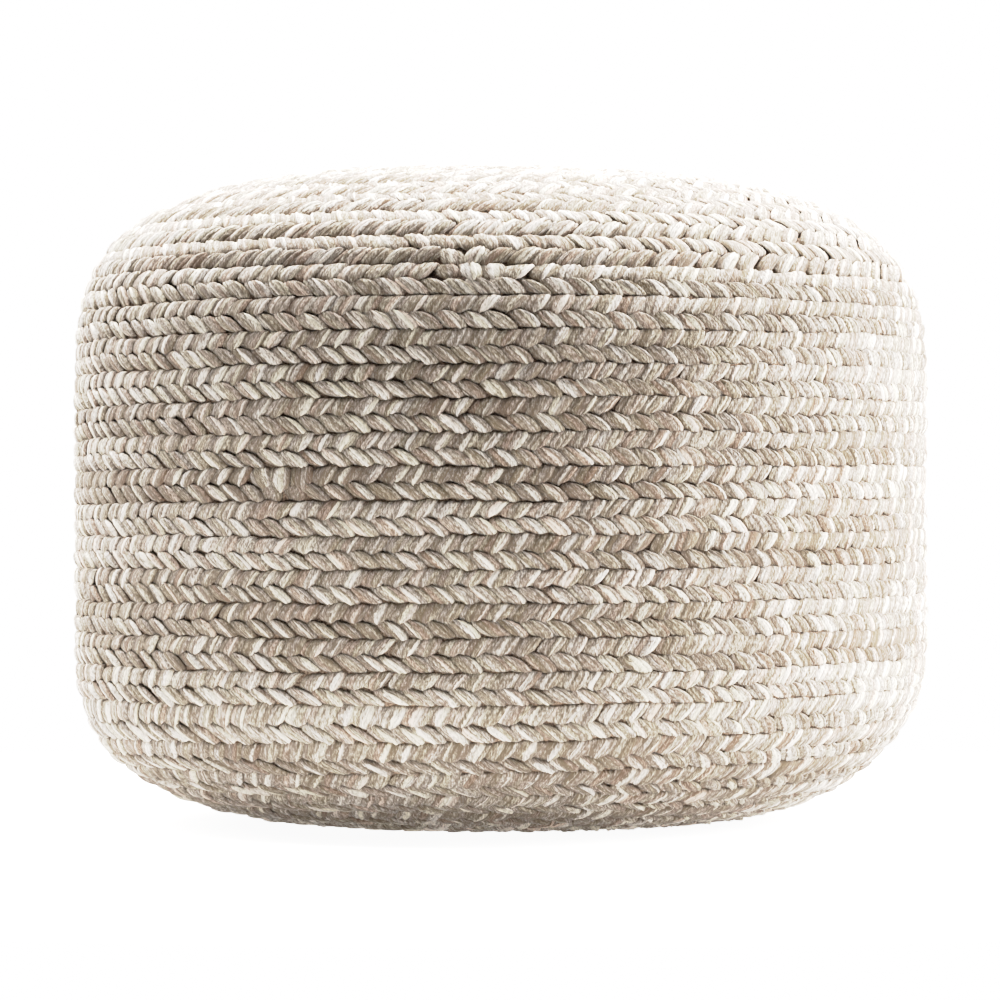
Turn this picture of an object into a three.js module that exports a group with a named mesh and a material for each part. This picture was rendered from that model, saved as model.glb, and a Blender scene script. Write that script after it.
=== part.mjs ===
// A round woven outdoor pouf: a filled body whose cover is a flat braid, coiled and sewn edge to edge.
// Millimetres, +Z up. The origin is the middle of the flat underside, and the front is the -Y side.
import * as THREE from "three";

// Overall form, measured over the crests of the braid
const WALL_RADIUS = 254;
const HEIGHT = 385;
const RESTING_RADIUS = 100;
const BASE_CORNER_HEIGHT = 103;
const BASE_CORNER_EXPONENT = 2.3;
const SHOULDER_START_HEIGHT = 254;
const SHOULDER_EXPONENT = 3.25;
// The filling has settled to the left, so the right side's lower edge is the rounder one and the top dips to
// the right, each by this much at the wall
const BASE_LEAN = 3.9;
const TOP_LEAN = 2;

// The braid: its rows lie closest on the wall, and are pressed a little wider on the base and the top
const WALL_ROW_PITCH = 18.75;
const BASE_ROW_PITCH = 23;
const TOP_ROW_PITCH = 21;
const GROOVE_DEPTH = 3;
const PRESSED_GROOVE_DEPTH = 1.5;
// The seam between the wall's last row and the top, as a length along the half section from the underside's
// middle, and the rows below it that have the wall's pitch
const SEAM = 526;
const WALL_ROWS = 13;
// A coil climbs by one row a turn. This share of the climb is gathered at the back, where 0 is an even helix
// and 1 is level in front
const CLIMB_AT_BACK = 0.65;
// Where each coil would run out at the seam, in degrees from the front, turning towards the right
const WALL_COIL_END = 330;
const TOP_COIL_END = 60;
// A row narrower than this share of its pitch is tucked under the seam, and so is a crest nearer to it than the
// smaller share
const NARROWEST_ROW = 0.25;
const NARROWEST_CREST = 0.08;

// The separately coiled top
const TOP_THICKNESS = 12;
const GAP = 0.3;

// Steps of the surface: points across a row, columns around, rings of a hidden face, and points on a corner
const STEPS_PER_ROW = 3;
const COLUMNS = 52;
const HIDDEN_RINGS = 7;
const CORNER_STEPS = 240;

const HEATHERED_YARN = { color: 0xb9ada0, roughness: 0.92, metalness: 0 };

// A quarter of a superellipse about the origin, from (1, 0) to (0, 1)
function superellipseQuarter(exponent) {
  return Array.from({ length: CORNER_STEPS + 1 }, (_, step) => {
    const angle = (step / CORNER_STEPS) * (Math.PI / 2);
    const across = Math.cos(angle);
    const along = Math.sin(angle);
    const reach = (across ** exponent + along ** exponent) ** (-1 / exponent);
    return new THREE.Vector2(across * reach, along * reach);
  });
}

// The pouf's half section from the middle of the underside, round the base corner, up the wall and over the
// shoulder to the middle of the top, as points of (radius, height)
function sideProfile() {
  const cornerWidth = WALL_RADIUS - RESTING_RADIUS;
  const baseCorner = superellipseQuarter(BASE_CORNER_EXPONENT).map(
    (p) => new THREE.Vector2(RESTING_RADIUS + cornerWidth * p.y, BASE_CORNER_HEIGHT * (1 - p.x)),
  );
  const shoulderHeight = HEIGHT - SHOULDER_START_HEIGHT;
  const shoulder = superellipseQuarter(SHOULDER_EXPONENT).map(
    (p) => new THREE.Vector2(WALL_RADIUS * p.x, SHOULDER_START_HEIGHT + shoulderHeight * p.y),
  );
  return [new THREE.Vector2(0, 0), ...baseCorner, ...shoulder];
}

const PROFILE = sideProfile();
const LENGTHS = [0];
for (let i = 1; i < PROFILE.length; i += 1) {
  LENGTHS.push(LENGTHS[i - 1] + PROFILE[i].distanceTo(PROFILE[i - 1]));
}
const PROFILE_LENGTH = LENGTHS.at(-1);

// The profile's point and outward normal at a length along it
function profileAt(length) {
  const wanted = THREE.MathUtils.clamp(length, 0, PROFILE_LENGTH);
  const after = Math.max(1, LENGTHS.findIndex((l) => l >= wanted));
  const before = after - 1;
  const share = (wanted - LENGTHS[before]) / (LENGTHS[after] - LENGTHS[before]);
  const point = PROFILE[before].clone().lerp(PROFILE[after], share);
  const along = PROFILE[after].clone().sub(PROFILE[before]).normalize();
  return { point, normal: new THREE.Vector2(along.y, -along.x) };
}

// How far the right side's surface is raised at a height, for each radius of its distance to the right
function leanAt(height) {
  const inCorner = THREE.MathUtils.clamp(height / BASE_CORNER_HEIGHT, 0, 1);
  const shoulderMiddle = THREE.MathUtils.lerp(SHOULDER_START_HEIGHT, HEIGHT, 0.6);
  const inShoulder = THREE.MathUtils.smoothstep(height, SHOULDER_START_HEIGHT, shoulderMiddle);
  return BASE_LEAN * Math.sin(Math.PI * inCorner) ** 2 - TOP_LEAN * inShoulder;
}

function angleOf(column) {
  return (column / COLUMNS) * 2 * Math.PI;
}

// The point at a length along the profile, sunk below it, in the column at an angle from the front
function surfacePoint(length, sunk, column) {
  const { point, normal } = profileAt(length);
  const onAxis = length <= 0 || length >= PROFILE_LENGTH;
  const radius = onAxis ? 0 : Math.max(0, point.x - sunk * normal.x);
  const height = point.y - sunk * normal.y;
  const angle = angleOf(column);
  const right = radius * Math.sin(angle);
  return new THREE.Vector3(right, -radius * Math.cos(angle), height + (leanAt(height) * right) / WALL_RADIUS);
}

// The share of a turn's climb that is made between the front and an angle to its right
function climbShare(angle) {
  return (angle - CLIMB_AT_BACK * Math.sin(angle)) / (2 * Math.PI);
}

// Collects faces by their corners and gives one closed, indexed geometry
class ClosedSurface {
  constructor() {
    this.numbers = new Map();
    this.points = [];
    this.faces = [];
  }

  cornerNumber(point) {
    const key = point.toArray().map((v) => Math.round(v * 1000)).join();
    if (!this.numbers.has(key)) {
      this.numbers.set(key, this.points.length);
      this.points.push(point);
    }
    return this.numbers.get(key);
  }

  addTriangle(a, b, c) {
    const corners = [a, b, c].map((point) => this.cornerNumber(point));
    if (new Set(corners).size === 3) {
      this.faces.push(...corners);
    }
  }

  // A quad of two neighbouring columns, whose corners run round it
  addQuad(a, b, c, d) {
    this.addTriangle(a, b, c);
    this.addTriangle(a, c, d);
  }

  geometry() {
    const geometry = new THREE.BufferGeometry().setFromPoints(this.points);
    geometry.setIndex(this.faces);
    geometry.computeVertexNormals();
    return geometry;
  }
}

// The outer face of a coil, from its seam to the pole where it starts. Its grid lines follow the rows: a line
// that a whole turn leaves at the front is met by the line one row further on. The grooves open out of the flat
// first row, at the pole, and the seam is a level ring at the bottom of a groove.
function addCoil(surface, { lengthAt, rows, endAngle, outwards, grooveDepth }) {
  const end = THREE.MathUtils.degToRad(endAngle);
  const lines = Math.ceil((rows + 1) * STEPS_PER_ROW);

  const gridPoint = (line, column) => {
    // The rows between the seam and this point. They lessen to the right on the wall and to the left on the
    // top, because both coils run the same way round when their outer face is looked at
    const climbed = outwards * (climbShare(angleOf(column)) - climbShare(end));
    const fromSeam = line / STEPS_PER_ROW - climbed;
    const inGroove = line % STEPS_PER_ROW === 0;
    if (fromSeam >= rows - NARROWEST_ROW) {
      return surfacePoint(lengthAt(rows), 0, column);
    }
    if (fromSeam <= (inGroove ? NARROWEST_ROW : NARROWEST_CREST)) {
      return surfacePoint(lengthAt(0), GROOVE_DEPTH, column);
    }
    const length = lengthAt(fromSeam);
    const opened = THREE.MathUtils.clamp(rows - 1 - fromSeam, 0, 1);
    return surfacePoint(length, inGroove ? opened * grooveDepth(length) : 0, column);
  };

  for (let line = -STEPS_PER_ROW; line < lines; line += 1) {
    for (let column = 0; column < COLUMNS; column += 1) {
      const corners = [
        gridPoint(line + 1, column),
        gridPoint(line + 1, column + 1),
        gridPoint(line, column + 1),
        gridPoint(line, column),
      ];
      surface.addQuad(...(outwards > 0 ? corners : corners.reverse()));
    }
  }
}

// The hidden face under the top disc: a rim across the braid's thickness at the seam, and a dome from there
// to the axis
function addHiddenDome(surface, { seam, depth, facesOut }) {
  const ringLengths = [seam, seam];
  const depths = [GROOVE_DEPTH, depth];
  for (let ring = 1; ring <= HIDDEN_RINGS; ring += 1) {
    ringLengths.push(THREE.MathUtils.lerp(seam, PROFILE_LENGTH, ring / HIDDEN_RINGS));
    depths.push(depth);
  }
  for (let ring = 0; ring + 1 < ringLengths.length; ring += 1) {
    for (let column = 0; column < COLUMNS; column += 1) {
      const corners = [
        surfacePoint(ringLengths[ring], depths[ring], column),
        surfacePoint(ringLengths[ring], depths[ring], column + 1),
        surfacePoint(ringLengths[ring + 1], depths[ring + 1], column + 1),
        surfacePoint(ringLengths[ring + 1], depths[ring + 1], column),
      ];
      surface.addQuad(...(facesOut ? corners : corners.reverse()));
    }
  }
}

function mesh(name, surface) {
  const made = new THREE.Mesh(surface.geometry(), new THREE.MeshStandardMaterial(HEATHERED_YARN));
  made.name = name;
  return made;
}

// The length along the profile at a number of the wall-and-base coil's rows below the seam
function wallLengthAt(rows) {
  const onWall = Math.min(rows, WALL_ROWS);
  return SEAM - onWall * WALL_ROW_PITCH - (rows - onWall) * BASE_ROW_PITCH;
}

function topLengthAt(rows) {
  return SEAM + GAP + rows * TOP_ROW_PITCH;
}

// The rows that the body's weight rests on are pressed nearly flat
function wallGrooveDepth(length) {
  const rowsFromRest = THREE.MathUtils.clamp((length - RESTING_RADIUS) / BASE_ROW_PITCH, 0, 1);
  return THREE.MathUtils.lerp(PRESSED_GROOVE_DEPTH, GROOVE_DEPTH, rowsFromRest);
}

function wallAndBase() {
  const surface = new ClosedSurface();
  const rows = WALL_ROWS + wallLengthAt(WALL_ROWS) / BASE_ROW_PITCH;
  addCoil(surface, {
    lengthAt: wallLengthAt,
    rows,
    endAngle: WALL_COIL_END,
    outwards: 1,
    grooveDepth: wallGrooveDepth,
  });
  addHiddenDome(surface, { seam: SEAM, depth: TOP_THICKNESS + GAP, facesOut: true });
  return mesh("wall_and_base", surface);
}

function topDisc() {
  const surface = new ClosedSurface();
  const seam = SEAM + GAP;
  addCoil(surface, {
    lengthAt: topLengthAt,
    rows: (PROFILE_LENGTH - seam) / TOP_ROW_PITCH,
    endAngle: TOP_COIL_END,
    outwards: -1,
    grooveDepth: () => GROOVE_DEPTH,
  });
  addHiddenDome(surface, { seam, depth: TOP_THICKNESS, facesOut: false });
  return mesh("top_disc", surface);
}

const pouf = new THREE.Group();
pouf.add(wallAndBase(), topDisc());

export default pouf;
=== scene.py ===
"""A woven outdoor pouf: a filled form under a flat three-strand plait, coiled and sewn edge to edge.

Sizes are in metres, +Z is up, the origin is the middle of the flat underside and the front is the -Y side.
The plait is modelled straight and in millimetres, one stitch at a time, and is then coiled: one coil runs out
from the middle of the underside and up the wall to the seam, and the other covers the top.
"""

import math

import bmesh
import bpy
import numpy as np
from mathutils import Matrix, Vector


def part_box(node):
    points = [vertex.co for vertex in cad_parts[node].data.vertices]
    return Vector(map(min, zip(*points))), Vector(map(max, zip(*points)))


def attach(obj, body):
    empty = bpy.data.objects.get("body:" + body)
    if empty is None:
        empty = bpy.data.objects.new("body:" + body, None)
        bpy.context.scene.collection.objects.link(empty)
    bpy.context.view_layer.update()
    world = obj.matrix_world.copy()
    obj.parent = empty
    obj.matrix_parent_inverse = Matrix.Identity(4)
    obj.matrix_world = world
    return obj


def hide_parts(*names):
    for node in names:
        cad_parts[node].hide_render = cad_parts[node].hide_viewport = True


bl_info = {
    "name": "Woven Outdoor Pouf",
    "version": (1, 0, 0),
    "blender": (4, 5, 0),
    "location": "View3D > Sidebar > Pouf",
    "description": "Builds a round pouf covered in a coiled, heathered plait",
    "category": "Object",
}

MM = 0.001

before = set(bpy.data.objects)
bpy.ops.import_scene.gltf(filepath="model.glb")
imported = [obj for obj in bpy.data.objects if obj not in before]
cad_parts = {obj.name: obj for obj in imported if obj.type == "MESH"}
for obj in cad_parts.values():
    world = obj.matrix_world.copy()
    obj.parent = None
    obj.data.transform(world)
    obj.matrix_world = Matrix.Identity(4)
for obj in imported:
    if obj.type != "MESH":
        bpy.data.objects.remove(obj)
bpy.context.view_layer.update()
BODY_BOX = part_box("wall_and_base")


def length_property(name, description, default_mm):
    return bpy.props.FloatProperty(
        name=name,
        description=description,
        default=default_mm * MM,
        unit="LENGTH",
        subtype="DISTANCE",
        precision=4,
    )


def turn_property(name, description, default_degrees):
    return bpy.props.FloatProperty(
        name=name,
        description=description,
        default=math.radians(default_degrees),
        unit="ROTATION",
        subtype="ANGLE",
    )


def number_property(name, description, default, **settings):
    return bpy.props.FloatProperty(name=name, description=description, default=default, **settings)


def colour_property(name, description, srgb):
    return bpy.props.StringProperty(name=name, description=description, default=srgb)


class PoufForm(bpy.types.PropertyGroup):
    """The filled form, measured over the crests of the braid"""

    wall_radius: length_property("Wall radius", "Radius of the upright wall", BODY_BOX[1][0] / MM)
    height: length_property("Height", "From the ground to the middle of the top", 385)
    resting_radius: length_property("Resting radius", "Radius of the flat that the pouf stands on", 100)
    base_corner_height: length_property("Base corner height", "Where the lower edge meets the wall", 103)
    base_corner_exponent: number_property(
        "Base corner squareness", "Exponent of the lower edge's superellipse, where 2 is round", 2.3
    )
    shoulder_start: length_property("Shoulder start", "Height at which the wall starts to turn in", 254)
    shoulder_exponent: number_property(
        "Shoulder squareness", "Exponent of the superellipse from the wall to the middle of the top", 3.25
    )
    base_lean: length_property("Base lean", "How much the lower edge is raised at the right", 3.9)
    top_lean: length_property("Top lean", "How much the top dips at the right", 2)
    under_braid: length_property("Under the braid", "How deep the forms lie below the crests", 3.2)
    top_thickness: length_property("Top thickness", "From the top's crests to its hidden face", 12)
    top_gap: length_property("Gap", "Between the body and the top's hidden face", 0.3)


class BraidLayout(bpy.types.PropertyGroup):
    """How the plait lies on the form"""

    seam: length_property("Seam", "Along the half section from the underside's middle to the seam", 526)
    wall_rows: bpy.props.IntProperty(
        name="Wall rows", description="Rows that have the wall's width", default=13
    )
    wall_row: length_property("Wall row", "Width of a row on the wall", 18.75)
    base_row: length_property("Base row", "Width of a row on the base, where it is pressed", 23)
    top_row: length_property("Top row", "Width of a row on the top", 21)
    climb_at_back: number_property(
        "Climb at the back", "Share of a coil's climb that is gathered at the back", 0.65, subtype="FACTOR"
    )
    wall_end: turn_property(
        "Wall coil's end", "Where the wall's coil runs out at the seam, from the front towards the right", 330
    )
    top_end: turn_property(
        "Top coil's end", "Where the top's coil runs out at the seam, from the front towards the right", 60
    )
    stitch_pitch: length_property("Stitch pitch", "From one bundle of yarns to the next along a side", 13.4)
    seed: bpy.props.IntProperty(name="Seed", description="Of the plait's unevenness", default=11)


class YarnColours(bpy.types.PropertyGroup):
    """The fibres' colours, as sRGB, the tints that yarns take, and the painted shade of the yarn between
    stitches
    """

    shade: colour_property("Shade", "The darkest fibres", "#786a5c")
    taupe: colour_property("Taupe", "The main fibres", "#a0958b")
    oat: colour_property("Oat", "Lighter fibres between taupe and cream", "#ccc3b9")
    cream: colour_property("Cream", "The soft roving that recurs along each strand", "#f5ebe0")
    untinted: colour_property("Untinted", "Leaves a yarn's colour as it is", "#ffffff")
    rust_tint: colour_property("Rust tint", "A rare tint that leans to brown", "#f4e7de")
    rose_tint: colour_property("Rose tint", "A tint that leans to red", "#f9eee8")
    khaki_tint: colour_property("Khaki tint", "A tint that leans to green", "#f5f4e8")
    grey_tint: colour_property("Grey tint", "A tint that leans to grey", "#f1f2f4")
    olive_tint: colour_property("Olive tint", "A rare tint that leans to green and brown", "#eeede2")
    # Painted shade: the yarn between the stitches is drawn darker than it is, with lighter spots for yarn
    # ends
    painted_shade_deep: colour_property("Deep", "The yarn in the depth between stitches", "#6f5b4b")
    yarn_end: colour_property("Yarn end", "The lighter ends of yarns in that depth", "#b79f8a")


class StudioStage(bpy.types.PropertyGroup):
    """The floor, lights and camera"""

    camera_distance: length_property("Camera distance", "From the pouf's middle", 2650)
    camera_height: length_property("Camera height", "The camera is level at this height", 186.3)
    lens: number_property("Lens", "Focal length on a 36 mm sensor", 158.8, unit="CAMERA")
    shift_x: number_property("Shift across", "The framing, as a share of the sensor", -0.0006, precision=4)
    shift_y: number_property("Shift up", "The framing, as a share of the sensor", 0.0068, precision=4)
    floor_radius: length_property("Floor radius", "Of the part of the floor that lights the pouf", 780)
    floor_colour: colour_property("Floor", "A plain pale floor", "#c8c7c5")
    floor_glow: number_property("Floor glow", "Light through the floor, as in a light table", 0.49)
    surround: number_property("Surround", "How strongly the white surround lights the pouf", 0.04)
    white: number_property("White", "The light level that shows as pure white", 3.0)
    key: number_property("Key light", "The large softbox at the right", 295, unit="POWER")
    fill: number_property("Fill light", "The large softbox behind the left", 186, unit="POWER")
    overhead: number_property("Overhead light", "The softbox over the pouf", 170, unit="POWER")


def smooth_step(value, low, high):
    share = np.clip((value - low) / (high - low), 0, 1)
    return share * share * (3 - 2 * share)


def superellipse_quarter(exponent, steps=600):
    """A quarter of a superellipse about the origin, from (1, 0) to (0, 1), as two arrays."""
    angle = np.linspace(0, math.pi / 2, steps + 1)
    across, along = np.cos(angle), np.sin(angle)
    reach = (across**exponent + along**exponent) ** (-1 / exponent)
    return across * reach, along * reach


class HalfSection:
    """The pouf's outline from the underside's middle to the top's middle, and its turned surface."""

    FLAT_STEPS = 20
    # The share of the shoulder's height from which the top leans in full
    TOP_LEANS_FROM = 0.6

    def __init__(self, form):
        self.form = form
        across, along = superellipse_quarter(form.base_corner_exponent)
        base_radii = form.resting_radius + (form.wall_radius - form.resting_radius) * along
        base_heights = form.base_corner_height * (1 - across)
        across, along = superellipse_quarter(form.shoulder_exponent)
        shoulder_radii = form.wall_radius * across
        shoulder_heights = form.shoulder_start + (form.height - form.shoulder_start) * along
        flat_radii = np.linspace(0, form.resting_radius, self.FLAT_STEPS, endpoint=False)
        self.radii = np.concatenate([flat_radii, base_radii, shoulder_radii])
        self.heights = np.concatenate([flat_radii * 0, base_heights, shoulder_heights])
        steps = np.hypot(np.diff(self.radii), np.diff(self.heights))
        self.lengths = np.concatenate([[0], np.cumsum(steps)])
        self.normal_out = np.gradient(self.heights, self.lengths)
        self.normal_up = -np.gradient(self.radii, self.lengths)
        self.total = self.lengths[-1]

    def radius(self, length):
        return np.interp(length, self.lengths, self.radii)

    def lean(self, height):
        """How far the wall's right side is raised at a height, and its left side lowered."""
        form = self.form
        in_corner = np.clip(height / form.base_corner_height, 0, 1)
        leans_from = form.shoulder_start + self.TOP_LEANS_FROM * (form.height - form.shoulder_start)
        in_shoulder = smooth_step(height, form.shoulder_start, leans_from)
        return form.base_lean * np.sin(math.pi * in_corner) ** 2 - form.top_lean * in_shoulder

    def place(self, length, raised, angle):
        """Points at a length along the outline, raised above it, at an angle from the front to the right."""
        length = np.clip(length, 0, self.total)
        out = np.interp(length, self.lengths, self.normal_out)
        up = np.interp(length, self.lengths, self.normal_up)
        radius = np.maximum(0, self.radius(length) + raised * out)
        height = np.interp(length, self.lengths, self.heights) + raised * up
        right = radius * np.sin(angle)
        height = height + self.lean(height) * right / self.form.wall_radius
        return np.stack([right, -radius * np.cos(angle), height], axis=-1)


class Coil:
    """A coiled plait, followed by how far it has turned back from its end at the seam towards its pole."""

    STEP = math.radians(0.5)
    # Where the coil runs out at the seam its row narrows. It is drawn in below the first share of a row's
    # width and shut at the second, and the plait sinks there
    FULL = 0.6
    TUCKED = 0.25
    SUNK = 3 * MM
    # Rows that are wound into the middle, where the coil starts, and the radius that they keep to
    WOUND_IN = 0.8
    TIGHTEST = 8 * MM
    # The coil's slow waves, by their number in a turn. They move a groove by up to a share of a row, and set
    # in between these rows from the seam
    WAVES = (2.3, 5.7, 9.1, 15.3)
    GROOVE_WANDER = 0.05
    WANDER_SETS_IN = (0.8, 1.6)
    # The same waves swell the plait, but come more often and further on
    SWELL = 0.3 * MM
    SWELL_WAVES = 1.7
    SWELL_AHEAD = 2
    # How gradually the ground presses the plait flat
    PRESSED = 0.4 * MM

    def __init__(self, section, layout, is_top):
        self.section = section
        self.layout = layout
        self.is_top = is_top
        self.end = layout.top_end if is_top else layout.wall_end
        self.rows = (
            (section.total - layout.seam) / layout.top_row
            if is_top
            else layout.wall_rows + (layout.seam - layout.wall_rows * layout.wall_row) / layout.base_row
        )
        turned = np.arange(-2 * math.pi, 2 * math.pi * (self.rows + 1), self.STEP)
        row = self.row_at(turned)
        kept = (row > self.TUCKED) & (row < self.rows + self.WOUND_IN)
        self.turned = turned[kept]
        middle = self.length_at(row[kept] - 0.5)
        step = np.maximum(section.radius(middle), self.TIGHTEST) * np.gradient(self.turned)
        travelled = np.cumsum(step)
        self.from_pole = travelled[-1] - travelled
        rng = np.random.default_rng(layout.seed + is_top)
        self.phases = rng.uniform(0, 2 * math.pi, len(self.WAVES))

    def row_at(self, turned):
        """The row's far groove, as a number of rows from the seam."""
        angle = self.angle_at(turned)
        gathered = self.layout.climb_at_back * (np.sin(angle) - math.sin(self.end))
        gathered = -gathered if self.is_top else gathered
        return 1 + (turned + gathered) / (2 * math.pi)

    def angle_at(self, turned):
        return self.end + turned if self.is_top else self.end - turned

    def turned_at(self, from_pole):
        return np.interp(from_pole, self.from_pole[::-1], self.turned[::-1])

    def length_at(self, rows):
        """The length along the half section at a number of rows from the seam."""
        layout = self.layout
        if self.is_top:
            return layout.seam + rows * layout.top_row
        on_wall = np.minimum(rows, layout.wall_rows)
        return layout.seam - on_wall * layout.wall_row - (rows - on_wall) * layout.base_row

    def wander(self, turned):
        """Slow unevenness along the coil, from -1 to 1."""
        waves = [np.sin(turned * wave + phase) for wave, phase in zip(self.WAVES, self.phases)]
        return sum(waves) / len(waves)

    def groove(self, rows, turned):
        """A groove's place in rows from the seam, with its wander, and closed up to the seam at its end."""
        open_share = smooth_step(rows, self.TUCKED, self.FULL)
        drawn_in = self.TUCKED * (1 - open_share)
        wandered = self.GROOVE_WANDER * self.wander(turned) * smooth_step(rows, *self.WANDER_SETS_IN)
        return np.clip(rows - drawn_in + wandered, 0, self.rows)

    def place(self, from_pole, across, raised):
        """Points of the straight plait, laid on the form. across is from 0 to 1."""
        turned = self.turned_at(from_pole)
        row = self.row_at(turned)
        far = self.groove(row, turned)
        near = self.groove(row - 1, turned - 2 * math.pi)
        if self.is_top:
            rows = near + (far - near) * across
        else:
            rows = far + (near - far) * across
        narrow = 1 - smooth_step(far - near, 0, self.FULL)
        swell = self.SWELL * self.wander(turned * self.SWELL_WAVES + self.SWELL_AHEAD)
        raised = raised + swell - self.SUNK * narrow
        points = self.section.place(self.length_at(rows), raised, self.angle_at(turned))
        # What the pouf rests on is pressed flat, and nothing reaches below the ground
        points[..., 2] = (points[..., 2] + np.sqrt(points[..., 2] ** 2 + self.PRESSED**2)) / 2
        return points


# A stitch is one bundle of yarns, from its outer end in a groove to the plait's middle, where it dives under
# the next one. A row for each cross section: along and across the plait and rise above it in mm, and the
# share of the bundle's full relief and width
YARNS = 4
LOWER_STITCH = (
    # along, across, rise, relief, width
    (5.9, -0.5, -3.2, 0.5, 0.66),
    (5.4, 0.4, -1.7, 0.8, 0.82),
    (3.8, 2.5, -0.7, 1.0, 0.96),
    (1.4, 4.9, 0.0, 1.05, 1.05),
    (-1.2, 7.3, 0.4, 1.0, 1.03),
    (-3.8, 9.5, 0.1, 0.9, 0.84),
    (-5.9, 11.2, -1.9, 0.6, 0.46),
)
UPPER_STITCH = (
    (3.4, 19.6, -2.4, 0.6, 1.0),
    (2.8, 18.9, -0.9, 0.7, 1.03),
    (1.4, 16.9, -0.1, 0.7, 1.05),
    (-0.4, 14.3, 0.1, 0.6, 1.05),
    (-1.9, 11.9, -0.1, 0.6, 1.0),
    (-2.7, 9.8, -0.6, 0.7, 0.82),
    (-2.4, 8.2, -1.9, 0.6, 0.46),
)
LAST_SECTION = len(LOWER_STITCH) - 1
# Both ends are rounded by holding back their sides: the cross section, the one that its sides are held back
# towards, and how far in mm at the very side
ROUNDING = (
    (LAST_SECTION, LAST_SECTION - 1, 1.6),
    (LAST_SECTION - 1, LAST_SECTION - 2, 0.55),
    (0, 2, 1.2),
    (1, 2, 0.8),
)
PLAIT_WIDTH = 18.75
BUNDLE_WIDTH = 14.3
# Across a bundle, from the side that lies under its neighbour to the side that lies over the next one: the
# place as a share of the width, and the height in mm. Valleys and crests of the yarns take turns
BUNDLE_SECTION = (
    (-0.57, -2.0),
    (-0.45, -1.2),
    (-0.33, -1.3),
    (-0.2, -0.15),
    (-0.07, -0.45),
    (0.07, 0.75),
    (0.2, 0.15),
    (0.32, 0.6),
    (0.44, -1.4),
)
# A yarn's own width in mm, which is less than its share of the bundle because it runs at a slant
YARN_WIDTH = 2.5


# Where the braid was spliced or tucked, single stitches take values of their own, in this order. Yarns stand
# upright at 1 and lean the other way above it, reach and lift are in mm, and the cream is measured in yarns
MARKED = ("upright", "reach", "cream_width", "cream_place", "fullness", "lift")
# Each is found by its row from the seam, its angle from the front in degrees, and its half of the plait,
# which is 0 for the lower stitches and 1 for the upper ones
WALL_MARKS = (
    (6, -29.9, 1, (1.7, 0.5, 0.9, 3.0, 0.0, 0.1)),
    (6, -26.9, 1, (1.0, 3.5, 1.9, 2.5, 0.0, 0.8)),
    (6, -23.9, 1, (1.0, 2.0, 0.0, 2.0, -0.06, 0.2)),
    (6, -33.0, 0, (0.3, 0.0, 0.0, 2.0, -0.05, -0.4)),
    (6, -29.9, 0, (0.6, 0.0, 0.0, 2.0, -0.05, -0.8)),
    (6, -26.9, 0, (0.6, 0.0, 0.0, 2.0, -0.05, -1.3)),
    (0, -2.0, 1, (1.3, 0.0, 3.0, 2.0, -0.2, 0.5)),
    (0, -5.1, 1, (1.3, -0.9, 0.0, 2.0, -0.12, -0.7)),
    (0, 1.0, 1, (1.2, 0.0, 0.6, 2.0, -0.12, -0.4)),
)
TOP_MARKS = (
    (0, -3.3, 0, (0.4, 0.0, 3.2, 2.0, -0.16, 0.6)),
    (0, -6.5, 0, (1.0, -1.0, 0.6, 2.0, -0.12, -0.7)),
)
# How near its angle a marked stitch is found, which is a little less than half of the way to the next one
MARK_REACHES = 1.4


def deselect_all():
    if bpy.context.object and bpy.context.object.mode != "OBJECT":
        bpy.ops.object.mode_set(mode="OBJECT")
    bpy.ops.object.select_all(action="DESELECT")


def select_only(obj):
    deselect_all()
    obj.select_set(True)
    bpy.context.view_layer.objects.active = obj


def select_vertices(obj, test):
    """In edit mode, selects the vertices that pass a test, and the edges and faces between them."""
    bpy.ops.mesh.select_mode(type="VERT")
    bpy.ops.mesh.select_all(action="DESELECT")
    shape = bmesh.from_edit_mesh(obj.data)
    for vertex in shape.verts:
        vertex.select = bool(test(vertex))
    shape.select_flush(True)
    bmesh.update_edit_mesh(obj.data)


def select_rim(obj, test):
    """In edit mode, selects the open edges whose two vertices pass a test."""
    bpy.ops.mesh.select_mode(type="EDGE")
    bpy.ops.mesh.select_all(action="DESELECT")
    shape = bmesh.from_edit_mesh(obj.data)
    for edge in shape.edges:
        edge.select = edge.is_boundary and test(*edge.verts)
    bmesh.update_edit_mesh(obj.data)


def read_points(mesh):
    points = np.empty(len(mesh.vertices) * 3)
    mesh.vertices.foreach_get("co", points)
    return points.reshape(-1, 3)


def move_points(mesh, points):
    mesh.vertices.foreach_set("co", points.astype(np.float32).ravel())


def read_numbers(mesh, name):
    """Reads a whole number for each vertex or face."""
    attribute = mesh.attributes[name]
    values = np.empty(len(attribute.data), dtype=np.int32)
    attribute.data.foreach_get("value", values)
    return values


def write_numbers(mesh, name, domain, values):
    """Writes a whole number for each vertex or face."""
    attribute = mesh.attributes.new(name, "INT", domain)
    attribute.data.foreach_set("value", values.astype(np.int32))


def write_on_faces(mesh, name, values):
    """Writes a value for each face, which the yarn's material reads."""
    attribute = mesh.attributes.new(name, "FLOAT", "FACE")
    attribute.data.foreach_set("value", values.astype(np.float32))


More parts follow.
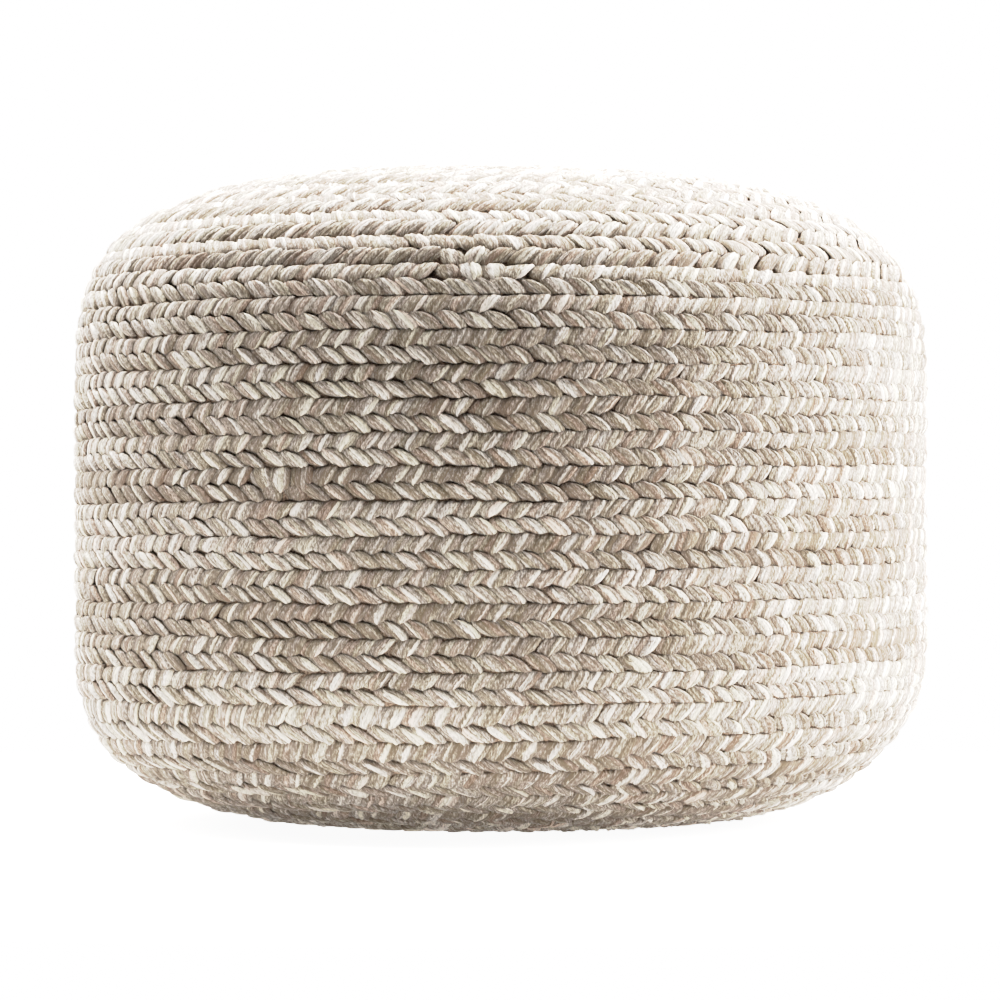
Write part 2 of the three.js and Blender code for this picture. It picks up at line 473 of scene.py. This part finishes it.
def model_stitch(name, sections):
    """Models one bundle of yarns as a closed, ridged leaf."""
    deselect_all()
    columns = 2 * YARNS
    bpy.ops.mesh.primitive_grid_add(x_subdivisions=columns, y_subdivisions=1, size=1)
    stitch = bpy.context.object
    stitch.name = name
    bpy.ops.object.mode_set(mode="EDIT")
    shape = bmesh.from_edit_mesh(stitch.data)
    column_layer = shape.verts.layers.int.new("column")
    section_layer = shape.verts.layers.int.new("section")
    for vertex in shape.verts:
        vertex[column_layer] = round((vertex.co.x + 0.5) * columns)
        vertex[section_layer] = 0 if vertex.co.y < 0 else 1
    bmesh.update_edit_mesh(stitch.data)

    # The first two cross sections, across which the yarns' crests and valleys are raised
    bpy.ops.mesh.select_all(action="SELECT")
    bpy.ops.transform.resize(value=(BUNDLE_WIDTH, 1, 1))
    for column, (aside, height) in enumerate(BUNDLE_SECTION):
        select_vertices(stitch, lambda v: v[column_layer] == column)
        aside -= column / columns - 0.5
        bpy.ops.transform.translate(value=(aside * BUNDLE_WIDTH, 0, height))
    for number in (0, 1):
        along, across, rise, relief, width = sections[number]
        select_vertices(stitch, lambda v: v[section_layer] == number)
        bpy.ops.transform.resize(value=(width, 1, relief), center_override=(0, 0, 0))
        bpy.ops.transform.translate(value=(along, across - (number - 0.5), rise))

    # The second section is drawn on along the bundle to the tip
    for number in range(2, len(sections)):
        before, section = sections[number - 1], sections[number]
        step = [section[axis] - before[axis] for axis in range(3)]
        bpy.ops.mesh.extrude_region_move(TRANSFORM_OT_translate={"value": step})
        bpy.ops.transform.resize(
            value=(section[4] / before[4], 1, section[3] / before[3]),
            center_override=section[:3],
        )
        shape = bmesh.from_edit_mesh(stitch.data)
        for vertex in shape.verts:
            if vertex.select:
                vertex[section_layer] = number
        bmesh.update_edit_mesh(stitch.data)

    for number, towards, held in ROUNDING:
        here, there = Vector(sections[number][:2]), Vector(sections[towards][:2])
        back = (there - here).normalized() * held
        for column in range(columns + 1):
            select_vertices(stitch, lambda v: v[section_layer] == number and v[column_layer] == column)
            share = abs(2 * column / columns - 1) ** 2
            bpy.ops.transform.translate(value=(back.x * share, back.y * share, 0))

    # The valleys between yarns stay crisp
    for column in range(0, columns + 1, 2):
        select_vertices(stitch, lambda v: v[column_layer] == column)
        bpy.ops.mesh.mark_sharp()

    # The underside closes the leaf from side to side, and then at both ends
    select_rim(stitch, lambda one, other: one[column_layer] == other[column_layer])
    bpy.ops.mesh.bridge_edge_loops()
    for number in (0, LAST_SECTION):
        select_rim(stitch, lambda one, other: one[section_layer] == other[section_layer] == number)
        bpy.ops.mesh.edge_face_add()
    bpy.ops.mesh.select_all(action="SELECT")
    bpy.ops.mesh.normals_make_consistent(inside=False)
    bpy.ops.mesh.faces_shade_smooth()
    bpy.ops.object.mode_set(mode="OBJECT")
    map_yarns(stitch)
    return stitch


def map_yarns(stitch):
    """Gives a stitch its yarn numbers, and a UV map in mm across and along its yarns."""
    mesh = stitch.data
    column = read_numbers(mesh, "column")
    section = read_numbers(mesh, "section")
    points = read_points(mesh)
    middle = np.array([points[section == number].mean(axis=0) for number in range(LAST_SECTION + 1)])
    travelled = np.concatenate([[0], np.cumsum(np.linalg.norm(np.diff(middle, axis=0), axis=1))])

    yarn = mesh.attributes.new("yarn", "INT", "FACE")
    uv_map = mesh.uv_layers.new(name="along_yarn")
    for face in mesh.polygons:
        columns = [column[v] for v in face.vertices]
        spread = max(columns) - min(columns)
        yarn.data[face.index].value = min(columns) // 2 if spread == 1 else 0
        for corner in face.loop_indices:
            vertex = mesh.loops[corner].vertex_index
            across = column[vertex] / 2 * YARN_WIDTH
            uv_map.data[corner].uv = (across, travelled[section[vertex]])


def model_stitch_pair():
    """Models a stitch of each side of the plait, the upper one half a pitch further, as one mesh."""
    pitch = bpy.context.scene.braid_layout.stitch_pitch / MM
    lower = model_stitch("lower_stitch", LOWER_STITCH)
    upper = model_stitch("upper_stitch", UPPER_STITCH)
    for stitch, half in ((lower, 0), (upper, 1)):
        write_numbers(stitch.data, "half", "POINT", np.full(len(stitch.data.vertices), half))
        write_numbers(stitch.data, "face_half", "FACE", np.full(len(stitch.data.polygons), half))
    select_only(upper)
    upper.location.x = -pitch / 2
    bpy.ops.object.transform_apply(location=True, rotation=False, scale=False)
    lower.select_set(True)
    bpy.context.view_layer.objects.active = lower
    bpy.ops.object.join()
    lower.name = "stitch_pair"
    return lower


def drifting(rng, steps, shape, hold):
    """Random values with a spread of 1, each of which holds on to a share of the one before."""
    fresh = rng.normal(size=(steps, *shape))
    values = fresh.copy()
    for step in range(1, steps):
        values[step] = hold * values[step - 1] + math.sqrt(1 - hold**2) * fresh[step]
    return values


class Unevenness:
    """What differs from stitch to stitch along a coil. Every third stitch is of the same strand."""

    STRANDS = 3
    # The upper stitches lie flatter, and show less of the cream
    LESS_ABOVE = 0.35

    def __init__(self, layout, coil):
        self.rng = np.random.default_rng(layout.seed * 10 + coil.is_top)
        self.stitches = 2 * int(coil.from_pole[0] / layout.stitch_pitch + 4)
        # In mm along the plait, across it and up, for the whole stitch
        self.slide = self.spread(0.7)
        self.shift = self.spread(0.45)
        self.lift = self.spread(0.24)
        # In mm along the plait from one end of a stitch to the other, and its width's share more or less
        self.skew = self.spread(1.1)
        self.fullness = self.spread(0.07)
        # In mm, for the outer end, which may not leave its groove, and for single yarns
        self.held_back = self.spread(0.5, least=-1.5)
        self.yarn_lift = self.spread(0.22, YARNS)
        self.tint = self.along_strands(YARNS, hold=0.5)
        self.light = self.along_strands(YARNS, hold=0.3)
        cream_strays = self.along_strands(hold=0.8)
        cream_seen = self.along_strands(hold=0.6)
        # The whole plait turns slowly lighter and darker too
        self.light += drifting(self.rng, self.stitches, (1,), hold=0.97)
        upper = np.arange(self.stitches) % 2
        less_above = 1 - self.LESS_ABOVE * upper
        self.lift *= less_above
        # Where the cream lies and how wide it is, in yarns. It stays clear of the bundle's edges
        self.cream_place = np.clip(2.3 + 0.4 * upper + 1.1 * cream_strays, 0.4, 3.6 - 0.2 * upper)
        self.cream_width = np.clip(0.85 + 0.8 * cream_seen, 0, 2.1) * less_above
        self.upright = np.zeros(self.stitches)
        self.reach = np.zeros(self.stitches)
        self.mark(layout, coil)

    def spread(self, size, *yarns, least=-2, most=2):
        """Values for each stitch, or each of its yarns, that spread about 0 by a size."""
        return size * self.rng.normal(size=(self.stitches, *yarns)).clip(least, most)

    def along_strands(self, *yarns, hold):
        """Values that drift along each strand on its own, in the order of the stitches."""
        turns = self.stitches // self.STRANDS + 2
        values = drifting(self.rng, turns, (self.STRANDS, *yarns), hold)
        return values.reshape(-1, *yarns)[: self.stitches]

    def mark(self, layout, coil):
        """Puts in the places where the braid was spliced or tucked."""
        number = np.arange(self.stitches)
        half = number % 2
        turned = coil.turned_at((number - half) / 2 * layout.stitch_pitch)
        row = np.floor(coil.row_at(turned) - 0.5)
        angle = np.degrees(coil.angle_at(turned) + math.pi) % 360 - 180
        for its_row, its_angle, its_half, values in TOP_MARKS if coil.is_top else WALL_MARKS:
            marked = (row == its_row) & (half == its_half) & (abs(angle - its_angle) < MARK_REACHES)
            for name, value in zip(MARKED, values):
                getattr(self, name)[marked] = value


def repeat_stitches(name, pair, pitch, count):
    """Repeats the pair of stitches as a straight plait."""
    piece = pair.copy()
    piece.data = pair.data.copy()
    piece.name = name
    bpy.context.scene.collection.objects.link(piece)
    select_only(piece)
    repeat = piece.modifiers.new("repeat", "ARRAY")
    repeat.use_relative_offset = False
    repeat.use_constant_offset = True
    repeat.constant_offset_displace = (pitch / MM, 0, 0)
    repeat.count = count
    bpy.ops.object.modifier_apply(modifier=repeat.name)
    return piece


# How much higher the crest of the cream roving is for each yarn of its width, in mm
CREAM_SWELLS = 0.45
# The share of the stitch about which it is skewed, and the range over which its outer end gives way to the
# part that moves with the stitch
SKEWED_ABOUT = 0.3
OUTER_END = (0.05, 0.5)


def coil_stitches(mesh, coil, uneven, pair, start):
    """Makes the stitches of a straight plait uneven and lays them on the form."""
    pitch = coil.layout.stitch_pitch
    half = read_numbers(mesh, "half")
    column = read_numbers(mesh, "column")
    number = read_numbers(mesh, "section")
    section = number / LAST_SECTION
    stitch = 2 * (start + np.arange(len(mesh.vertices)) // len(pair.data.vertices)) + half
    along, across, rise = read_points(mesh).T
    paths = np.array([[place[0] for place in side] for side in (LOWER_STITCH, UPPER_STITCH)])
    inwards = np.where(half == 0, 1, -1)
    moves = smooth_step(section, *OUTER_END)

    along = along - uneven.upright[stitch] * paths[half, number]
    along = along + uneven.slide[stitch] + uneven.skew[stitch] * (section - SKEWED_ABOUT)
    along = along + uneven.fullness[stitch] * (column / (2 * YARNS) - 0.5) * BUNDLE_WIDTH
    across = across + uneven.reach[stitch] * section * inwards + uneven.shift[stitch] * moves
    across = across + uneven.held_back[stitch] * (1 - moves) * inwards
    crest = column % 2
    yarn = np.clip((column - 1) // 2, 0, YARNS - 1)
    near_cream = np.clip(1 - np.abs(column / 2 - uneven.cream_place[stitch]), 0, 1)
    swollen = CREAM_SWELLS * near_cream * uneven.cream_width[stitch]
    rise = rise + uneven.lift[stitch] * moves + crest * (uneven.yarn_lift[stitch, yarn] + swollen)
    move_points(mesh, coil.place(start * pitch + along * MM, across / PLAIT_WIDTH, rise * MM))


# Yarns' tints are spread by this share of the scale about its middle, and stitch numbers start again before
# they grow too large for a noise pattern
TINT_SPREAD = 0.22
STITCH_NUMBERS = 997


def describe_yarns(mesh, uneven, pair, start):
    """Writes on each face what its yarn looks like."""
    half = read_numbers(mesh, "face_half")
    yarn = read_numbers(mesh, "yarn")
    stitch = 2 * (start + np.arange(len(mesh.polygons)) // len(pair.data.polygons)) + half
    write_on_faces(mesh, "yarn_tint", 0.5 + TINT_SPREAD * uneven.tint[stitch, yarn])
    write_on_faces(mesh, "yarn_light", uneven.light[stitch, yarn])
    write_on_faces(mesh, "stitch_number", stitch % STITCH_NUMBERS)
    write_on_faces(mesh, "cream_place", uneven.cream_place[stitch] * YARN_WIDTH)
    write_on_faces(mesh, "cream_width", uneven.cream_width[stitch] * YARN_WIDTH)


def lay_plait(name, coil, uneven, pair, first_row, last_row):
    """Makes a length of plait and coils it, from one row off the seam to another."""
    pitch = coil.layout.stitch_pitch
    rows = coil.row_at(coil.turned)
    start, stop = (
        int(round(np.interp(row, rows, coil.from_pole) / pitch)) for row in (first_row, last_row)
    )
    piece = repeat_stitches(name, pair, pitch, stop - start)
    mesh = piece.data
    coil_stitches(mesh, coil, uneven, pair, start)
    describe_yarns(mesh, uneven, pair, start)
    for spent in ("half", "face_half", "column", "section", "yarn"):
        mesh.attributes.remove(mesh.attributes[spent])

    # The top's coil turns the other way, which turns its faces inwards
    if coil.is_top:
        select_only(piece)
        bpy.ops.object.mode_set(mode="EDIT")
        bpy.ops.mesh.select_all(action="SELECT")
        bpy.ops.mesh.flip_normals()
        bpy.ops.object.mode_set(mode="OBJECT")
    mesh.update()
    return piece


def finish_piece(piece, node, material):
    piece.data.materials.clear()
    piece.data.materials.append(material)
    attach(piece, "root")
    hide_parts(node)


FORM_SEGMENTS = 72
ABOVE_GROUND = 0.6 * MM


def turn_form(name, rings, section):
    """Makes a closed form of revolution from rings of (length along the outline, depth below the crests)."""
    deselect_all()
    last = len(rings) - 1
    bpy.ops.mesh.primitive_uv_sphere_add(segments=FORM_SEGMENTS, ring_count=last, radius=1)
    form = bpy.context.object
    form.name = name
    points = read_points(form.data)
    polar = np.arccos(np.clip(-points[:, 2], -1, 1))
    ring = np.round(polar / math.pi * last).astype(int)
    angle = np.arctan2(points[:, 0], -points[:, 1])
    lengths, depths = np.array(rings).T
    placed = section.place(lengths[ring], -depths[ring], angle)
    placed[:, 2] = np.maximum(placed[:, 2], ABOVE_GROUND)
    placed[(ring == 0) | (ring == last), :2] = 0
    move_points(form.data, placed)
    bpy.ops.object.mode_set(mode="EDIT")
    bpy.ops.mesh.select_all(action="SELECT")
    bpy.ops.mesh.normals_make_consistent(inside=False)
    bpy.ops.object.mode_set(mode="OBJECT")
    bpy.ops.object.shade_smooth()
    form.data.update()
    return form


def linear(srgb):
    """An sRGB hex colour as linear RGBA."""
    channels = [int(srgb[i : i + 2], 16) / 255 for i in (1, 3, 5)]
    return (*(c / 12.92 if c <= 0.04045 else ((c + 0.055) / 1.055) ** 2.4 for c in channels), 1)


def add_node(tree, kind, inputs=(), stops=None, **settings):
    """Adds a node with its settings, its links and a colour ramp's stops.

    Inputs are given by name or in order, each as a value, an output or a node, which stands for its first
    output. Stops are places from 0 to 1 with their sRGB colours.
    """
    node = tree.nodes.new(kind)
    for name, value in settings.items():
        setattr(node, name, value)
    for socket, value in inputs.items() if isinstance(inputs, dict) else enumerate(inputs):
        if isinstance(value, bpy.types.Node):
            value = value.outputs[0]
        if isinstance(value, bpy.types.NodeSocket):
            tree.links.new(value, node.inputs[socket])
        else:
            node.inputs[socket].default_value = value
    if stops:
        ramp = node.color_ramp.elements
        ramp.remove(ramp[1])
        for number, (place, colour) in enumerate(stops.items()):
            stop = ramp.new(place) if number else ramp[0]
            stop.position = place
            stop.color = linear(colour)
    return node


def new_material(name):
    material = bpy.data.materials.new(name)
    material.use_nodes = True
    return material, material.node_tree


def heathered_yarn():
    """Soft outdoor yarn, loosely spun and plied: matt, marled in fine streaks of light and dark fibres."""
    colours = bpy.context.scene.yarn_colours
    material, tree = new_material("heathered_outdoor_yarn")
    tree.nodes.clear()
    yarn_tint, yarn_light, stitch_number, cream_place, cream_width = (
        add_node(tree, "ShaderNodeAttribute", attribute_name=name).outputs["Fac"]
        for name in ("yarn_tint", "yarn_light", "stitch_number", "cream_place", "cream_width")
    )
    uv = add_node(tree, "ShaderNodeUVMap", uv_map="along_yarn")
    across, along, _ = add_node(tree, "ShaderNodeSeparateXYZ", (uv,)).outputs

    # Each stitch has a slice of the patterns of its own, several mm from the next one's
    slices_apart = 7.31
    depth = add_node(tree, "ShaderNodeMath", (stitch_number, slices_apart), operation="MULTIPLY")
    own = add_node(tree, "ShaderNodeCombineXYZ", (across, along, depth))
    # Fibres are drawn 0.55 mm wide, a little coarser than real ones, and show for 3 mm before they dip in
    # again. The twist of the plies turns them by 14 degrees from the yarn
    plied = {"Vector": own, "Rotation": (0, 0, math.radians(-14)), "Scale": (0.55, 3, 1)}
    drawn = add_node(tree, "ShaderNodeMapping", plied, vector_type="TEXTURE")
    noise = {"Vector": drawn, "Scale": 1.0, "Detail": 2.0, "Roughness": 0.7}
    fibres = add_node(tree, "ShaderNodeTexNoise", noise)
    # Slubs, 1.6 mm wide and 6 mm long, where the spinning has left more light or more dark fibres
    spun = {"Vector": own, "Scale": (1.6, 6, 1)}
    spun = add_node(tree, "ShaderNodeMapping", spun, vector_type="TEXTURE")
    slubs = add_node(tree, "ShaderNodeTexNoise", {"Vector": spun, "Scale": 1.0, "Detail": 1.0})

    # The cream roving's edge frays with the fibres, by up to about 1 mm
    fray = 1.5
    streaks = add_node(tree, "ShaderNodeMath", (slubs, fibres), operation="ADD")
    frayed = add_node(tree, "ShaderNodeMath", (streaks, fray, -fray), operation="MULTIPLY_ADD")
    aside = add_node(tree, "ShaderNodeMath", (across, cream_place), operation="SUBTRACT")
    off = add_node(tree, "ShaderNodeMath", (aside, frayed), operation="ADD")
    off = add_node(tree, "ShaderNodeMath", (off,), operation="ABSOLUTE")
    # It is fullest where the strand lies over the others, 6.5 mm along the stitch, and thins to both ends
    fullest, fullest_at = 1.15, 6.5
    thins_over, taper = 8.5, 2.5
    centred = (along, 1 / thins_over, -fullest_at / thins_over)
    ends = add_node(tree, "ShaderNodeMath", centred, operation="MULTIPLY_ADD")
    ends = add_node(tree, "ShaderNodeMath", (ends,), operation="ABSOLUTE")
    ends = add_node(tree, "ShaderNodeMath", (ends, taper), operation="POWER")
    fullness = add_node(tree, "ShaderNodeMath", (fullest, ends), operation="SUBTRACT")
    half_width = add_node(tree, "ShaderNodeMath", (cream_width, 0.5), operation="MULTIPLY")
    half_width = add_node(tree, "ShaderNodeMath", (half_width, fullness), operation="MULTIPLY")
    inside = add_node(tree, "ShaderNodeMath", (half_width, off), operation="SUBTRACT")
    # It fades out across its edge, over a little more than half a millimetre
    steepness, shown_at_edge = 1.8, 0.4
    fading = (inside, steepness, shown_at_edge)
    cream = add_node(tree, "ShaderNodeMath", fading, operation="MULTIPLY_ADD", use_clamp=True)

    # Painted shade darkens the valleys between the yarns, where little light reaches; the valleys show 0.6 mm
    # wide to each side and wander
    valley_width, wanders = 0.6, 1.2
    strayed = add_node(tree, "ShaderNodeMath", (across, wanders / 2), operation="SUBTRACT")
    strayed = add_node(tree, "ShaderNodeMath", (slubs, wanders, strayed), operation="MULTIPLY_ADD")
    to_valley = add_node(tree, "ShaderNodeMath", (strayed, YARN_WIDTH / 2), operation="PINGPONG")
    nearness = (to_valley, -1 / valley_width, 1.0)
    valley_shade = add_node(tree, "ShaderNodeMath", nearness, operation="MULTIPLY_ADD", use_clamp=True)

    # A yarn's lightness, from 0 for shade to 1 for cream, is the weighted sum of these and a start
    light = -0.97
    for source, weight in ((fibres, 2.0), (valley_shade, -0.24), (slubs, 0.5), (yarn_light, 0.08), (cream, 0.5)):
        light = add_node(tree, "ShaderNodeMath", (source, weight, light), operation="MULTIPLY_ADD")
    shades = {0: colours.shade, 0.34: colours.taupe, 0.6: colours.oat, 1: colours.cream}
    shades = add_node(tree, "ShaderNodeValToRGB", (light,), stops=shades)
    tints = {
        0.02: colours.rust_tint,
        0.16: colours.rose_tint,
        0.38: colours.untinted,
        0.6: colours.khaki_tint,
        0.72: colours.untinted,
        0.84: colours.grey_tint,
        0.98: colours.olive_tint,
    }
    tints = add_node(tree, "ShaderNodeValToRGB", (yarn_tint,), stops=tints)
    tinted = {0: 1.0, 6: shades, 7: tints}
    tinted = add_node(tree, "ShaderNodeMix", tinted, data_type="RGBA", blend_type="MULTIPLY")

    bump = add_node(tree, "ShaderNodeBump", {"Height": fibres, "Strength": 0.9, "Distance": 0.7 * MM})
    # Matt yarn with a faint fuzz
    yarn = {
        "Base Color": tinted.outputs[2],
        "Normal": bump,
        "Roughness": 0.93,
        "Specular IOR Level": 0.2,
        "Sheen Weight": 0.12,
    }
    shader = add_node(tree, "ShaderNodeBsdfPrincipled", yarn)
    add_node(tree, "ShaderNodeOutputMaterial", {"Surface": shader})
    return material


def yarn_in_painted_shade():
    """The same yarn between the stitches, darkened as painted shade where little light reaches: matt and
    spotted.
    """
    colours = bpy.context.scene.yarn_colours
    material, tree = new_material("heathered_yarn_in_painted_shade")
    tree.nodes.clear()
    # Ends of yarns show in it as spots about 1.1 mm wide
    place = add_node(tree, "ShaderNodeTexCoord").outputs["Object"]
    spots = {"Vector": place, "Scale": 1 / (1.1 * MM), "Detail": 1.0}
    spots = add_node(tree, "ShaderNodeTexNoise", spots)
    # Painted shade, darker than the yarn, with lighter spots for the ends of yarns
    shades = {0.35: colours.painted_shade_deep, 0.68: colours.yarn_end}
    shades = add_node(tree, "ShaderNodeValToRGB", (spots,), stops=shades)
    bump = add_node(tree, "ShaderNodeBump", {"Height": spots, "Strength": 0.8, "Distance": 1 * MM})
    yarn = {"Base Color": shades, "Normal": bump, "Roughness": 0.95}
    shader = add_node(tree, "ShaderNodeBsdfPrincipled", yarn)
    add_node(tree, "ShaderNodeOutputMaterial", {"Surface": shader})
    return material


class POUF_OT_shape_forms(bpy.types.Operator):
    """Shape the filled body and the top under their braid"""

    bl_idname = "pouf.shape_forms"
    bl_label = "Shape the Filled Forms"

    BODY_RINGS = 40
    TOP_RINGS = 26
    HIDDEN_RINGS = 14

    def execute(self, context):
        form, layout = context.scene.pouf_form, context.scene.braid_layout
        section = HalfSection(form)
        seam, total = layout.seam, section.total
        # The forms show between the stitches as the yarn in painted shade
        yarn = yarn_in_painted_shade()
        under_top = form.top_thickness + form.top_gap
        wall = [(length, form.under_braid) for length in np.linspace(0, seam, self.BODY_RINGS)]
        dome = [(length, under_top) for length in np.linspace(seam, total, self.HIDDEN_RINGS)]
        body = turn_form("body_form", wall + dome, section)
        finish_piece(body, "wall_and_base", yarn)

        hidden = [(length, form.top_thickness) for length in np.linspace(total, seam, self.HIDDEN_RINGS)]
        outer = [(length, form.under_braid) for length in np.linspace(seam, total, self.TOP_RINGS)]
        top = turn_form("top_form", hidden + outer, section)
        finish_piece(top, "top_disc", yarn)
        return {"FINISHED"}


class POUF_OT_coil_braid(bpy.types.Operator):
    """Model the plait and coil it over the base, the wall and the top"""

    bl_idname = "pouf.coil_braid"
    bl_label = "Coil the Braid"

    # The rows from the seam at which one piece of braid ends and the next starts
    BASE_CORNER_FROM = 17.5
    LOWER_WALL_FROM = 13
    UPPER_WALL_FROM = 6.5
    SHOULDER_FROM = 5
    TO_SEAM = 0.3

    def execute(self, context):
        form, layout = context.scene.pouf_form, context.scene.braid_layout
        section = HalfSection(form)
        pair = model_stitch_pair()
        yarn = heathered_yarn()
        wall = Coil(section, layout, is_top=False)
        uneven = Unevenness(layout, wall)
        for name, far, near in (
            ("underside_braid", wall.rows + wall.WOUND_IN, self.BASE_CORNER_FROM),
            ("base_corner_braid", self.BASE_CORNER_FROM, self.LOWER_WALL_FROM),
            ("lower_wall_braid", self.LOWER_WALL_FROM, self.UPPER_WALL_FROM),
            ("upper_wall_braid", self.UPPER_WALL_FROM, self.TO_SEAM),
        ):
            finish_piece(lay_plait(name, wall, uneven, pair, far, near), "wall_and_base", yarn)
        top = Coil(section, layout, is_top=True)
        uneven = Unevenness(layout, top)
        for name, far, near in (
            ("crown_braid", top.rows + top.WOUND_IN, self.SHOULDER_FROM),
            ("shoulder_braid", self.SHOULDER_FROM, self.TO_SEAM),
        ):
            finish_piece(lay_plait(name, top, uneven, pair, far, near), "top_disc", yarn)
        bpy.data.objects.remove(pair)
        return {"FINISHED"}


def soften_highlights(view, white, straight_to=0.5):
    """Rolls off what is brighter than a level, so that it reaches white softly, as in a studio photograph."""
    view.view_transform = "Standard"
    view.use_curve_mapping = True
    view.curve_mapping.white_level = (white, white, white)
    brightness = view.curve_mapping.curves[3]
    reach = (white - straight_to) / (1 - straight_to)
    for level in (0.25, straight_to, 0.6, 0.75, 1.0, 1.4, 2.0):
        over = max(0, level - straight_to) / (1 - straight_to)
        rolled = over * (1 + over / reach**2) / (1 + over)
        shown = min(level, straight_to) + (1 - straight_to) * rolled
        brightness.points.new(level / white, shown)
    view.curve_mapping.update()


def shine_on_camera(tree, strength, seen, lit):
    """Shows a white surface at one strength and lets it light the pouf by less, as if from far off."""
    on_camera = add_node(tree, "ShaderNodeLightPath").outputs["Is Camera Ray"]
    chosen = add_node(tree, "ShaderNodeMath", (on_camera, seen - lit, lit), operation="MULTIPLY_ADD")
    tree.links.new(chosen.outputs[0], strength)


class POUF_OT_set_stage(bpy.types.Operator):
    """Set the floor, the lights and the camera"""

    bl_idname = "pouf.set_stage"
    bl_label = "Set the Stage"

    # The floor lies a little below the ground. With the softboxes' light on it, this share of white is enough
    # to show as white
    FLOOR_HEIGHT = -0.4 * MM
    FLOOR_SHOWN = 0.75
    AIMED_AT = (0, 0, 0.2)

    def execute(self, context):
        stage = context.scene.studio_stage
        self.lay_floor(stage)
        self.light_surround(context.scene, stage)
        for name, power, place, size in (
            ("key_softbox", stage.key, (2.3, 0.15, 1.0), (1.6, 1.6)),
            ("fill_softbox", stage.fill, (-1.75, 1.2, 1.3), (1.5, 1.7)),
            ("overhead_softbox", stage.overhead, (-0.02, 0.16, 1.6), (1.7, 1.3)),
        ):
            self.hang_softbox(context.scene, name, power, place, size)
        self.set_camera(context.scene, stage)
        soften_highlights(context.scene.view_settings, stage.white)
        return {"FINISHED"}

    def lay_floor(self, stage):
        deselect_all()
        bpy.ops.mesh.primitive_circle_add(
            vertices=64, radius=stage.floor_radius, fill_type="NGON", location=(0, 0, self.FLOOR_HEIGHT)
        )
        floor = bpy.context.object
        floor.name = "floor"
        bpy.ops.object.transform_apply(location=True, rotation=False, scale=False)
        paint, tree = new_material("matt_pale_floor")
        shader = tree.nodes["Principled BSDF"]
        shader.inputs["Base Color"].default_value = linear(stage.floor_colour)
        shader.inputs["Roughness"].default_value = 0.9
        shader.inputs["Emission Color"].default_value = (1, 1, 1, 1)
        shown = self.FLOOR_SHOWN * stage.white
        shine_on_camera(tree, shader.inputs["Emission Strength"], shown, stage.floor_glow)
        floor.data.materials.append(paint)

    def light_surround(self, scene, stage):
        scene.world = bpy.data.worlds.new("white_surround")
        scene.world.use_nodes = True
        tree = scene.world.node_tree
        background = tree.nodes["Background"]
        background.inputs["Color"].default_value = (1, 1, 1, 1)
        shine_on_camera(tree, background.inputs["Strength"], stage.white, stage.surround)

    def hang_softbox(self, scene, name, power, place, size):
        light = bpy.data.lights.new(name, "AREA")
        light.shape = "RECTANGLE"
        light.size, light.size_y = size
        light.energy = power
        softbox = bpy.data.objects.new(name, light)
        scene.collection.objects.link(softbox)
        softbox.location = place
        towards = Vector(self.AIMED_AT) - Vector(place)
        softbox.rotation_euler = towards.to_track_quat("-Z", "Y").to_euler()

    def set_camera(self, scene, stage):
        camera = bpy.data.cameras.new("camera")
        camera.lens = stage.lens
        camera.sensor_width = 36
        camera.shift_x = stage.shift_x
        camera.shift_y = stage.shift_y
        camera.clip_start, camera.clip_end = 0.05, 100
        holder = bpy.data.objects.new("camera", camera)
        scene.collection.objects.link(holder)
        holder.location = (0, -stage.camera_distance, stage.camera_height)
        holder.rotation_euler = (math.radians(90), 0, 0)
        scene.camera = holder


class POUF_PT_panel(bpy.types.Panel):
    """The pouf's tools and sizes"""

    bl_label = "Woven Outdoor Pouf"
    bl_idname = "POUF_PT_panel"
    bl_space_type = "VIEW_3D"
    bl_region_type = "UI"
    bl_category = "Pouf"

    def draw(self, context):
        for name, group in GROUPS.items():
            box = self.layout.box()
            box.label(text=group.__doc__)
            for value in group.__annotations__:
                box.prop(getattr(context.scene, name), value)
        for operator in OPERATORS:
            self.layout.operator(operator.bl_idname)


GROUPS = {
    "pouf_form": PoufForm,
    "braid_layout": BraidLayout,
    "yarn_colours": YarnColours,
    "studio_stage": StudioStage,
}
OPERATORS = (POUF_OT_shape_forms, POUF_OT_coil_braid, POUF_OT_set_stage)


def register():
    for cls in (*GROUPS.values(), *OPERATORS, POUF_PT_panel):
        bpy.utils.register_class(cls)
    for name, group in GROUPS.items():
        setattr(bpy.types.Scene, name, bpy.props.PointerProperty(type=group))


def unregister():
    for name in GROUPS:
        delattr(bpy.types.Scene, name)
    for cls in (POUF_PT_panel, *reversed(OPERATORS), *reversed(GROUPS.values())):
        bpy.utils.unregister_class(cls)


def main():
    register()
    bpy.ops.pouf.shape_forms()
    bpy.ops.pouf.coil_braid()
    bpy.ops.pouf.set_stage()


if __name__ == "__main__":
    main()
